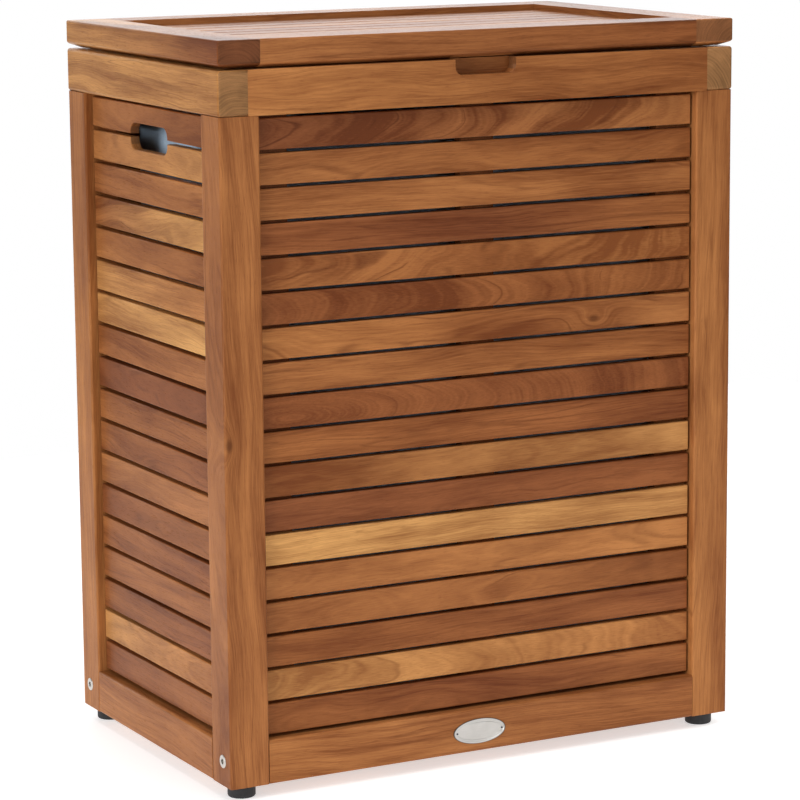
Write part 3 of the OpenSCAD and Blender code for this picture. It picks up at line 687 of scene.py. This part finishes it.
def give_finish(material, *nodes):
    """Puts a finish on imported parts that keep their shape."""
    for name in nodes:
        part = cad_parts[name]
        if not part.material_slots:
            part.data.materials.append(material)
        for slot in part.material_slots:
            slot.link = "OBJECT"
            slot.material = material


give_finish(nickel, "liner_knobs", "barrel_nuts")
give_finish(steel, "hinge_lid_leaves", "hinge_rim_leaves", "hinge_lid_screws",
            "hinge_rim_screws", "hinge_pins", "lid_batten_screws", "slat_nails", "foot_screws")
give_finish(dowel_finish(), "frame_dowels", "lid_dowels")


def grow(bm, edges):
    """Extrudes edges in place, and gives the new vertices and the new edges between them."""
    grown = bmesh.ops.extrude_edge_only(bm, edges=edges)["geom"]
    verts = [v for v in grown if isinstance(v, bmesh.types.BMVert)]
    return verts, [e for e in grown if isinstance(e, bmesh.types.BMEdge)
                   and all(v in verts for v in e.verts)]


def ring_below(bm, edges, radius, drop):
    """Grows a wall from a ring of edges: its new lower ring is given radius and drop."""
    verts, lower = grow(bm, edges)
    size = max(Vector(v.co[:2]).length for v in verts)
    bmesh.ops.scale(bm, verts=verts, vec=(radius / size, radius / size, 1))
    bmesh.ops.translate(bm, verts=verts, vec=(0, 0, -drop))
    return lower


def one_bolt():
    """One cap bolt, its head's face at z = 0."""
    made = bmesh.new()
    flat_r = BOLT_HEAD[0] - BOLT_SHOULDER
    rim = bmesh.ops.create_circle(made, segments=ROUND_STEPS, radius=flat_r)["verts"]
    rim_edges = list({e for v in rim for e in v.link_edges})
    hexagon = bmesh.ops.create_circle(made, segments=6, radius=BOLT_SOCKET[0])["verts"]
    bmesh.ops.subdivide_edges(made, edges=list({e for v in hexagon for e in v.link_edges}),
                              cuts=ROUND_STEPS // 6 - 1)
    hex_edges = [e for e in made.edges if e not in rim_edges]
    bmesh.ops.bridge_loops(made, edges=rim_edges + hex_edges)
    edges = rim_edges
    for step in (1, 2, 3):
        turn = math.radians(30 * step)
        before = math.radians(30 * (step - 1))
        edges = ring_below(made, edges, flat_r + BOLT_SHOULDER * math.sin(turn),
                           BOLT_SHOULDER * (math.cos(before) - math.cos(turn)))
    edges = ring_below(made, edges, BOLT_HEAD[0], BOLT_HEAD[1] - BOLT_SHOULDER)
    edges = ring_below(made, edges, BOLT_SHANK[0], 0)
    edges = ring_below(made, edges, BOLT_SHANK[0], BOLT_SHANK[1] - BOLT_HEAD[1])
    bmesh.ops.contextual_create(made, geom=edges)
    edges = ring_below(made, hex_edges, BOLT_SOCKET[0], BOLT_SOCKET[1])
    bmesh.ops.contextual_create(made, geom=edges)
    bmesh.ops.recalc_face_normals(made, faces=list(made.faces))
    for face in made.faces:
        face.smooth = abs(face.normal.z) < 0.99 and Vector(
            face.calc_center_median()[:2]).length > BOLT_SOCKET[0] * 1.05
    return made


def repeated(one, places):
    """Copies of one small part, in the places where the real ones are."""
    part = bpy.data.meshes.new("part")
    one.to_mesh(part)
    one.free()
    many = bmesh.new()
    for place in places:
        copy = part.copy()
        copy.transform(place)
        many.from_mesh(copy)
        bpy.data.meshes.remove(copy)
    bpy.data.meshes.remove(part)
    return many


def finished(name, bm, material, body, slot, *nodes):
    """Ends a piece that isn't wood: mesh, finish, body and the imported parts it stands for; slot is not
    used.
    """
    made = put(name, bm, material)
    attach(made, body)
    if nodes:
        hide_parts(*nodes)
    return made


bolt_places = [Matrix.Translation((way * bolt_high.x, face_y * bolt_y, bolt_z)) @
               Matrix.Rotation(way * math.pi / 2, 4, "Y")
               for way in (-1, 1) for face_y in (-1, 1)]
finished("nickel_cap_bolts", repeated(one_bolt(), bolt_places), nickel, "carcass", "nickel",
         "frame_bolts")

# ---- Feet ----
# Black moulded rubber discs, each screwed up into its post through a recess below.
# The lower edge is rounded so that they slide over a threshold.

FOOT = {"r": 0.0135, "tall": 0.013, "recess_r": 0.0042, "recess": 0.007, "bore": 0.00205,
        "neck_r": 0.0127, "neck": 0.0115, "brim": 0.0105}


def rubber_finish():
    """Matt black rubber with a fine moulded grain and dust on it."""
    rubber = Finish("black_rubber")
    place = rubber.place()
    grain = rubber.noise(place, 2600.0, 2.0)
    dust = rubber.noise(place, 130.0, 3.0)
    return rubber.shade(Base_Color=rubber.blend(dust.step(0.4, 0.8), linear("121213"),
                                                linear("29282a")),
                        Roughness=0.48 + dust * 0.2, Normal=rubber.bump(grain, 0.00008, 0.5))


foot = bmesh.new()
profile = [(FOOT["bore"], FOOT["recess"]), (FOOT["recess_r"], FOOT["recess"]),
           (FOOT["recess_r"], 0), (FOOT["r"], 0), (FOOT["r"], FOOT["brim"]), (FOOT["neck_r"], FOOT["neck"]),
           (FOOT["neck_r"], FOOT["tall"]), (FOOT["bore"], FOOT["tall"])]
verts = [foot.verts.new((r, 0, z)) for r, z in profile]
foot.faces.new(verts)
for vert, size in ((verts[3], 0.002), (verts[4], 0.0005), (verts[2], 0.0006)):
    bmesh.ops.bevel(foot, geom=[vert], offset=size, offset_type="OFFSET", segments=4,
                    profile=0.5, affect="VERTICES", material=-1)
bmesh.ops.delete(foot, geom=list(foot.faces), context="FACES_ONLY")
bmesh.ops.spin(foot, geom=list(foot.edges), cent=(0, 0, 0), axis=(0, 0, 1), dvec=(0, 0, 0),
               angle=math.tau, steps=ROUND_STEPS, use_merge=True)
bmesh.ops.remove_doubles(foot, verts=list(foot.verts), dist=1e-6)
bmesh.ops.recalc_face_normals(foot, faces=list(foot.faces))
for face in foot.faces:
    face.smooth = abs(face.normal.z) < 0.99
foot_places = []
for corner in POSTS:
    low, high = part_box("post_" + corner)
    foot_places.append(Matrix.Translation(((low.x + high.x) / 2, (low.y + high.y) / 2, 0)))
finished("rubber_feet", repeated(foot, foot_places), rubber_finish(), "carcass",
         "black_rubber", "feet")

# ---- Badge ----
# A blank oval plate of brushed metal with a raised border, held by two small pins
# on the front bottom rail.

BADGE_BORDER, BADGE_DISH, BADGE_EDGE = 0.0016, 0.00025, 0.0002
# Where the painted shadow line at the plate's edge starts and ends, in the squared measure of the finish
BADGE_PAINTED_SHADOW = 0.90, 0.98


def brushed_finish(middle, half):
    """Brushed plate: fine lines along its length, clouded by handling, with a painted shadow line dark at
    its edge.
    """
    plate = Finish("brushed_plate")
    place = plate.place()
    x, y, z = plate.split(place)
    brush = plate.noise(plate.point(x * 50.0, y * 50.0, z * 4200.0), 1.0, 2.0)
    cloud = plate.noise(place, 90.0, 2.0)
    # 0 at the oval's middle and 1 at its edge, squared
    across, up = (x - middle.x) * (1 / half.x), (z - middle.z) * (1 / half.z)
    # Painted shadow: the plate turns near black in a thin line at its edge
    edge = (across * across + up * up).step(*BADGE_PAINTED_SHADOW)
    metal = plate.blend(brush * 0.6 + cloud * 0.4, (0.40, 0.39, 0.37), (0.70, 0.69, 0.66))
    return plate.shade(Base_Color=plate.blend(edge, metal, (0.10, 0.09, 0.08)),
                       Metallic=1.0, Roughness=0.30 + (brush - 0.5) * 0.2 + cloud * 0.08,
                       Normal=plate.bump(brush, 0.00004, 0.5))


low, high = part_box("badge_plate")
middle, half = (low + high) / 2, (high - low) / 2
plate_finish = brushed_finish(middle, half.copy())
badge = bmesh.new()
bmesh.ops.create_circle(badge, segments=96, radius=1, cap_ends=True, matrix=Matrix.LocRotScale(
    (middle.x, high.y, middle.z), Matrix.Rotation(math.pi / 2, 3, "X"), (half.x, half.z, 1)))
grown = bmesh.ops.extrude_face_region(badge, geom=list(badge.faces))["geom"]
top = next(f for f in grown if isinstance(f, bmesh.types.BMFace))
bmesh.ops.translate(badge, verts=list(top.verts), vec=(0, low.y - high.y, 0))
bmesh.ops.recalc_face_normals(badge, faces=list(badge.faces))
edge_ring = list(top.edges)
for width, rise in ((BADGE_EDGE, 0.0), (BADGE_BORDER, 0.0), (BADGE_EDGE, BADGE_DISH),
                    (BADGE_BORDER, 0.0), (BADGE_EDGE, BADGE_EDGE), (BADGE_EDGE, -BADGE_EDGE)):
    bmesh.ops.inset_region(badge, faces=[top], thickness=0)
    bmesh.ops.scale(badge, verts=list(top.verts), space=Matrix.Translation(-middle),
                    vec=(1 - width / half.x, 1, 1 - width / half.z))
    half -= Vector((width, 0, width))
    bmesh.ops.translate(badge, verts=list(top.verts), vec=(0, rise, 0))
bmesh.ops.bevel(badge, geom=[e for e in edge_ring if e.is_valid], offset=BADGE_EDGE,
                offset_type="OFFSET", segments=2, profile=0.5, affect="EDGES", material=-1)
finished("badge_oval", badge, plate_finish, "carcass", "nickel", "badge_plate")
# The pins' metal is near black: painted shade, standing for the shadow the pins sit in
give_finish(metal_finish("pin_painted_shade", (0.08, 0.08, 0.09), 0.42, 0.20), "badge_pins")

# ---- Liner ----
# A removable bag of pale cotton canvas, tinted blue-grey as painted cool shade, sewn from a band
# and a floor, with a bound top edge. Four buttonhole tabs hang it on the knobs; between them
# the edge sags.

LINER_GAP = 0.005
LINER_CORNER, LINER_FLOOR_ROUND = 0.018, 0.012
LINER_TOP = 0.661
HANG_Y = 0.085
SAG_LONG, SAG_SHORT = 0.030, 0.006
PULL_IN = 0.016
BULGE = 0.005
FOLD_PITCH, FOLD_DEPTH, FOLD_REACH = 0.052, 0.0028, 0.16
WAVE, RUMPLE = 0.0050, 0.0022
FLOOR_LIFT = 0.0020
CANVAS = 0.0011
THREAD = 0.0011


def canvas_finish():
    """Plain-weave cotton. Its own map runs along the threads, in metres."""
    cloth = Finish("cotton_canvas")
    across, up, _ = cloth.split(cloth.node("UVMap", {"uv_map": "thread"}, {}))
    warp = (across * (math.tau / THREAD)).sin()
    weft = (up * (math.tau / THREAD)).sin()
    weave = warp * weft
    slub = (cloth.noise(cloth.point(across * 40.0, up * 900.0), 1.0, 2.0)
            + cloth.noise(cloth.point(across * 900.0, up * 40.0), 1.0, 2.0)) * 0.5
    # The crease noise is the folds' relief in the bump, and also painted shade and light along the folds in
    # the colour
    crease_and_shade = cloth.noise(cloth.point(across * 14.0, up * 9.0), 1.0, 3.0)
    # Both colours are pale cloth with painted cool shade in their blue-grey tint
    colour = cloth.blend((slub - 0.5) * 1.6 + weave * 0.14 + crease_and_shade * 0.4 + 0.3,
                         linear("a3c0da"), linear("cce0f2"))
    return cloth.shade(Base_Color=colour, Roughness=0.82 + (slub - 0.5) * 0.2,
                       Sheen_Weight=0.25, Sheen_Roughness=0.5,
                       Normal=cloth.bump(weave * 0.4 + slub * 1.2 + crease_and_shade * 2.0, 0.0005, 0.7))


canvas = canvas_finish()


def map_threads(bm):
    """Lays the threads' map on each face, along the walls and up them or flat on the floor,
    and shades it smooth."""
    thread = bm.loops.layers.uv.new("thread")
    for face in bm.faces:
        face.smooth = True
        middle = face.calc_center_median()
        lean = -1 if middle.x * middle.y > 0 else 1
        for loop in face.loops:
            x, y, z = loop.vert.co
            loop[thread].uv = (x, y) if abs(face.normal.z) > 0.7 else (x + lean * y, z)


from mathutils import noise

post_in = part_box("post_front_left")[1]
bag_x, bag_y = -post_in.x - LINER_GAP, -post_in.y - LINER_GAP
bag_z0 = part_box("liner_bag")[0].z
bag = bmesh.new()
bmesh.ops.create_cube(bag, size=1, matrix=Matrix.LocRotScale(
    (0, 0, (bag_z0 + LINER_TOP) / 2), None, (2 * bag_x, 2 * bag_y, LINER_TOP - bag_z0)))
bmesh.ops.bevel(bag, geom=[e for e in bag.edges if abs(e.verts[0].co.z - e.verts[1].co.z) > 0.1],
                offset=LINER_CORNER, offset_type="OFFSET", segments=5, profile=0.5,
                affect="EDGES", material=-1)
bmesh.ops.bevel(bag, geom=[e for e in bag.edges if max(v.co.z for v in e.verts) < bag_z0 + 1e-5],
                offset=LINER_FLOOR_ROUND, offset_type="OFFSET", segments=3, profile=0.5,
                affect="EDGES", material=-1)
bmesh.ops.delete(bag, geom=[f for f in bag.faces if f.normal.z > 0.9], context="FACES_ONLY")
cuts = [((1, 0, 0), bag_x - LINER_CORNER, 28), ((0, 1, 0), bag_y - LINER_CORNER, 16)]
for axis, reach, count in cuts:
    for n in range(count + 1):
        bmesh.ops.bisect_plane(bag, geom=[*bag.verts, *bag.edges, *bag.faces], dist=1e-6,
                               plane_no=axis, plane_co=Vector(axis) * reach * (2 * n / count - 1))
BAG_ROWS = 36
for n in range(1, BAG_ROWS):
    height = bag_z0 + LINER_FLOOR_ROUND + (LINER_TOP - bag_z0 - LINER_FLOOR_ROUND) * n / BAG_ROWS
    bmesh.ops.bisect_plane(bag, geom=[*bag.verts, *bag.edges, *bag.faces], dist=1e-6,
                           plane_no=(0, 0, 1), plane_co=(0, 0, height))
bag.normal_update()
map_threads(bag)


def hung(vert, out):
    """Where a point of the bag's wall hangs: its edge sags between the tabs, the cloth
    below is drawn in there, and folds run down from the tabs."""
    x, y, z = vert.co
    rise = (z - bag_z0) / (LINER_TOP - bag_z0)
    corner_run = bag_y - HANG_Y
    on_side = abs(x) > bag_x - LINER_CORNER / 2
    if on_side and abs(y) <= HANG_Y:
        along = (y + HANG_Y) / (2 * HANG_Y)
        sag, pull = SAG_SHORT, 0.3
        from_tab = min(along, 1 - along) * 2 * HANG_Y
    else:
        run = abs(y) - HANG_Y if on_side else corner_run + bag_x - abs(x)
        span = 2 * corner_run + 2 * bag_x
        along = run / span
        sag, pull = SAG_LONG, 1.0
        from_tab = run
    dip = 4 * along * (1 - along)
    drop = sag * dip * rise ** 2
    gather = math.sin(math.pi * min(1.0, max(0.0, (rise - 0.45) / 0.55)) / 2)
    inward = PULL_IN * pull * dip * gather ** 2
    belly = BULGE * math.sin(math.pi * min(1.0, rise / 0.7)) * (0.3 + 0.7 * dip) if rise < 0.7 else 0
    fold = math.sin(from_tab * 2 * math.pi / FOLD_PITCH + 2.2 * noise.noise(Vector((x, y, z)) * 5))
    fold *= FOLD_DEPTH * rise ** 1.3 * math.exp(-from_tab / FOLD_REACH)
    wave = WAVE * noise.noise(Vector((x * 7, y * 7, z * 4.0)))
    wave += RUMPLE * noise.noise(Vector((x * 22 + 9, y * 22, z * 11)))
    if abs(x) > bag_x - 0.05 and abs(y) > bag_y - 0.05:
        belly, wave = belly * 0.2, min(wave, 0.001)
    step = -inward + belly + fold + wave
    return Vector((x, y, z - drop)) + out * step


moves = []
for vert in bag.verts:
    out = Vector((vert.normal.x, vert.normal.y, 0))
    if vert.co.z > bag_z0 + LINER_FLOOR_ROUND * 0.9 and out.length > 0.3:
        moves.append((vert, hung(vert, out.normalized())))
    elif vert.co.z < bag_z0 + 1e-4:
        lift = FLOOR_LIFT * (1 + noise.noise(Vector((vert.co.x * 14, vert.co.y * 14, 3))))
        moves.append((vert, vert.co + Vector((0, 0, lift))))
for vert, place in moves:
    vert.co = place
inner_verts = [v for v in bag.verts if not v.is_boundary]
for _ in range(2):
    bmesh.ops.smooth_vert(bag, verts=inner_verts, factor=0.4, use_axis_x=True,
                          use_axis_y=True, use_axis_z=True)
edge_line = bmesh.new()
places = {}
for edge in bag.edges:
    if edge.is_boundary:
        ends = []
        for v in edge.verts:
            if v not in places:
                places[v] = edge_line.verts.new(v.co)
            ends.append(places[v])
        edge_line.edges.new(ends)
bag_piece = finished("canvas_liner", bag, canvas, "carcass", "canvas", "liner_bag")


def sewn(piece, thickness, levels=1):
    """Gives cloth its thickness and rounds it."""
    solid = piece.modifiers.new("cloth", "SOLIDIFY")
    solid.thickness, solid.offset = thickness, 0
    if levels:
        smooth = piece.modifiers.new("round", "SUBSURF")
        smooth.levels = smooth.render_levels = levels


sewn(bag_piece, CANVAS)

# Bound edge: a tape folded over the bag's top
TAPE, TAPE_T, TAPE_ROWS, TAPE_DROP = 0.011, 0.0026, 3, 0.0004
edges = list(edge_line.edges)
bmesh.ops.translate(edge_line, verts=list(edge_line.verts), vec=(0, 0, -TAPE_DROP))
for _ in range(TAPE_ROWS):
    fresh, edges = grow(edge_line, edges)
    bmesh.ops.translate(edge_line, verts=fresh, vec=(0, 0, -TAPE / TAPE_ROWS))
bmesh.ops.recalc_face_normals(edge_line, faces=list(edge_line.faces))
edge_line.normal_update()
map_threads(edge_line)
binding = finished("canvas_binding", edge_line, canvas, "carcass", "canvas")
sewn(binding, TAPE_T)

# Hanging tabs: a round end with a buttonhole on the knob's neck, sewn to the bag below
knob_low, knob_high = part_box("liner_knobs")
knob_z = (knob_low.z + knob_high.z) / 2
loop_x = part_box("liner_bag")[1].x - 0.001
TAB_R, HOLE_R, TAB_T, TAB_STEPS = 0.0095, 0.0031, 0.0014, 32
TAB_BEND, TAB_SEWN, TAB_PROUD = 0.6575, (0.6530, 0.6440, 0.6330), 0.0022
tabs = bmesh.new()
for way in (-1, 1):
    for y in (-HANG_Y, HANG_Y):
        turn = Matrix.Translation((way * loop_x, y, knob_z)) @ Matrix.Rotation(
            math.pi / 2, 4, "Y") @ Matrix.Rotation(math.pi / TAB_STEPS, 4, "Z")
        loops = [bmesh.ops.create_circle(tabs, segments=TAB_STEPS, radius=r, matrix=turn)["verts"]
                 for r in (TAB_R, HOLE_R)]
        rims = [list({e for v in loop for e in v.link_edges}) for loop in loops]
        bmesh.ops.bridge_loops(tabs, edges=rims[0] + rims[1])
        edges = [e for e in rims[0] if max(v.co.z for v in e.verts) < knob_z - 1e-5]
        path = [(loop_x, knob_z - TAB_R - 0.001), (loop_x - 0.003, TAB_BEND),
                *((bag_x + TAB_PROUD, z) for z in TAB_SEWN)]
        for x, z in path:
            fresh, edges = grow(tabs, edges)
            for v in fresh:
                v.co.x, v.co.z = way * x, z
bmesh.ops.recalc_face_normals(tabs, faces=list(tabs.faces))
tabs.normal_update()
map_threads(tabs)
tab_piece = finished("canvas_tabs", tabs, canvas, "carcass", "canvas")
sewn(tab_piece, TAB_T)

# ---- Camera, light and floor ----
# A long lens at standing distance, a white studio and a pale floor.

bpy.context.scene.view_settings.view_transform = "Standard"
AZ, EL, ROLL = (math.radians(a) for a in (27.992, 10.206, -0.49))
SENSOR, IMAGE_WIDTH, FOCAL = 36, 800, 3293.33
EYE = (-1.542655, -2.902243, 0.926321)
back = Vector((-math.sin(AZ) * math.cos(EL), -math.cos(AZ) * math.cos(EL), math.sin(EL)))
right = (-back).cross(Vector((0, 0, 1))).normalized()
up = right.cross(-back)
right, up = (math.cos(ROLL) * right + math.sin(ROLL) * up,
             math.cos(ROLL) * up - math.sin(ROLL) * right)
lens = bpy.data.cameras.new("camera")
lens.sensor_width = SENSOR
lens.lens = FOCAL * SENSOR / IMAGE_WIDTH
lens.clip_end = 200
camera = bpy.data.objects.new("camera", lens)
camera.matrix_world = Matrix((right, up, back)).transposed().to_4x4()
camera.matrix_world.translation = EYE
bpy.context.scene.collection.objects.link(camera)
bpy.context.scene.camera = camera

# A dim room, with a bright white backdrop behind the hamper and to its right
ROOM, BACKDROP_GLOW = 0.22, 2.1
BACKDROP, BACKDROP_FADE = (0.46, 0.87, 0.17), (0.55, 0.97)
world = bpy.data.worlds.new("studio")
world.use_nodes = True
bpy.context.scene.world = world
sky = world.node_tree
sky.nodes.clear()
direction = sky.nodes.new("ShaderNodeTexCoord")
toward = sky.nodes.new("ShaderNodeVectorMath")
toward.operation = "DOT_PRODUCT"
toward.inputs[1].default_value = BACKDROP
fade = sky.nodes.new("ShaderNodeMapRange")
fade.interpolation_type = "SMOOTHSTEP"
seen = sky.nodes.new("ShaderNodeLightPath")
glow = sky.nodes.new("ShaderNodeMix")
air = sky.nodes.new("ShaderNodeBackground")
sky_out = sky.nodes.new("ShaderNodeOutputWorld")
air.inputs[0].default_value = (1, 1, 1, 1)
sky.links.new(direction.outputs["Generated"], toward.inputs[0])
sky.links.new(toward.outputs["Value"], fade.inputs[0])
for socket, value in enumerate((*BACKDROP_FADE, ROOM, ROOM + BACKDROP_GLOW), 1):
    fade.inputs[socket].default_value = value
sky.links.new(seen.outputs["Is Camera Ray"], glow.inputs[0])
sky.links.new(fade.outputs[0], glow.inputs[2])
glow.inputs[3].default_value = 1.0
sky.links.new(glow.outputs[0], air.inputs[1])
sky.links.new(air.outputs[0], sky_out.inputs[0])

FLOOR_HALF, AIM_Z = 1.5, 0.36
floor_bm = bmesh.new()
bmesh.ops.create_grid(floor_bm, x_segments=1, y_segments=1, size=FLOOR_HALF)
paper = Finish("pale_floor").shade(Base_Color=(0.75, 0.75, 0.75, 1), Roughness=0.7,
                                   Emission_Color=(1, 1, 1, 1), Emission_Strength=0.55)
put("floor", floor_bm, paper)


def softbox(name, place, size, energy):
    lamp = bpy.data.lights.new(name, "AREA")
    lamp.size, lamp.energy = size, energy
    made = bpy.data.objects.new(name, lamp)
    made.location = place
    made.rotation_mode = "QUATERNION"
    made.rotation_quaternion = (Vector(place) - Vector((0, 0, AIM_Z))).to_track_quat("Z", "Y")
    bpy.context.scene.collection.objects.link(made)


softbox("overhead", (0.0, -1.0, 3.2), 2.0, 42)
softbox("front", (0.4, -3.3, 1.0), 1.6, 18)
softbox("side", (-3.1, -1.2, 1.3), 1.5, 60)
